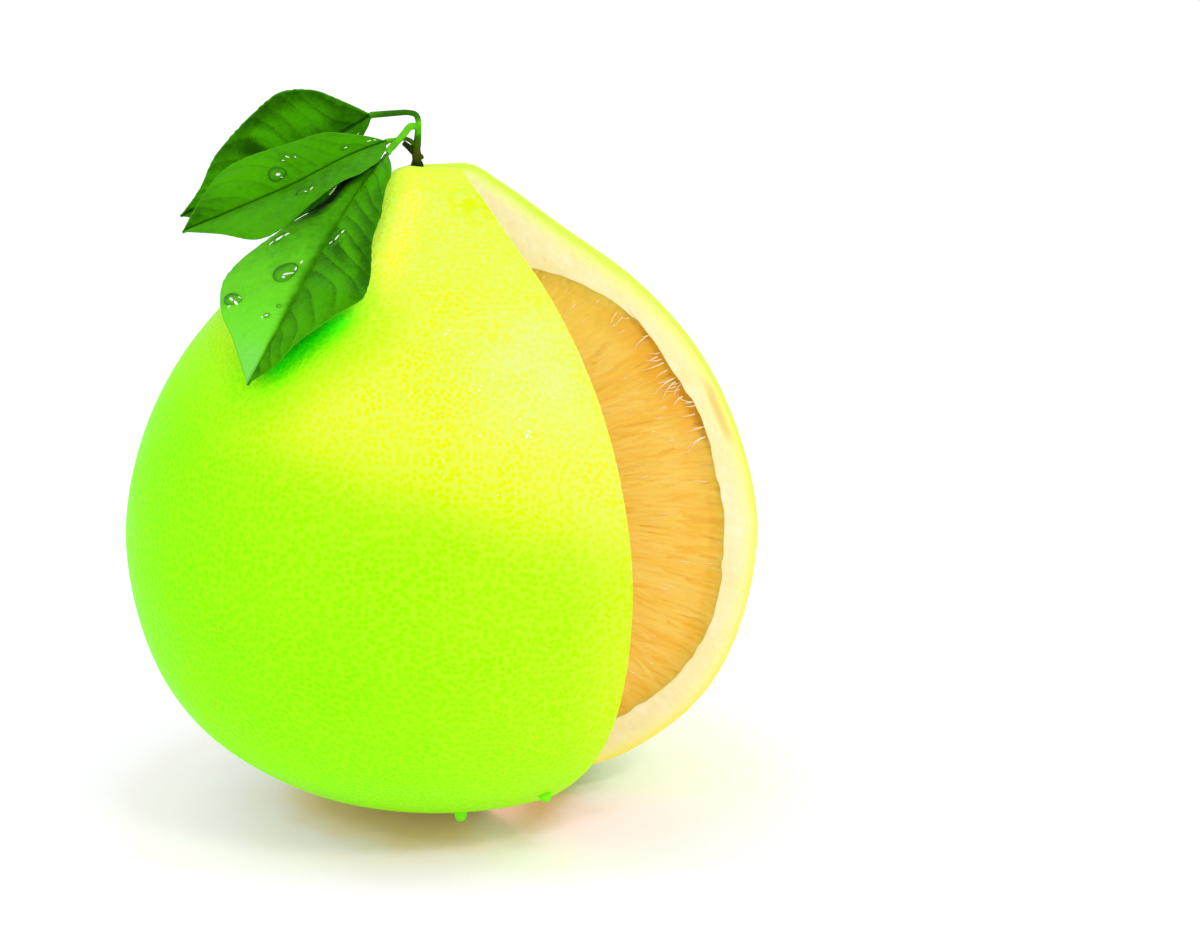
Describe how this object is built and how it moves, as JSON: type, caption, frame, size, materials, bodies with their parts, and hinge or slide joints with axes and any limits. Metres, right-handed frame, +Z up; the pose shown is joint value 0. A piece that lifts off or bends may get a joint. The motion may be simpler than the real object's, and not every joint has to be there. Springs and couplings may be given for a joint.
{
  "type": "pomelo with a wedge cut out",
  "caption": "Whole pomelo with one wedge cut out down to the core, showing pith and juice sacs, with a leafy twig on its crown.",
  "frame": {"origin": "on the floor, under the middle of the part's bounding box, on the fruit's axis", "axes": "+Z up along the fruit's axis from base to crown, +X to the right of the picture, -Y towards its viewer"},
  "size_m": [0.1602, 0.1597, 0.1824],
  "materials": {
    "rind": "waxy, yellow-green skin over cream pith",
    "flesh": "wet, amber juice sacs",
    "twig": "green shoot with a brown foot",
    "leaf": "glossy leaf"
  },
  "bodies": {
    "root": {"rind": "rind", "flesh": "flesh", "twig": "twig", "leaf_upper": "leaf", "leaf_middle": "leaf", "leaf_lower": "leaf"}
  },
  "joints": []
}
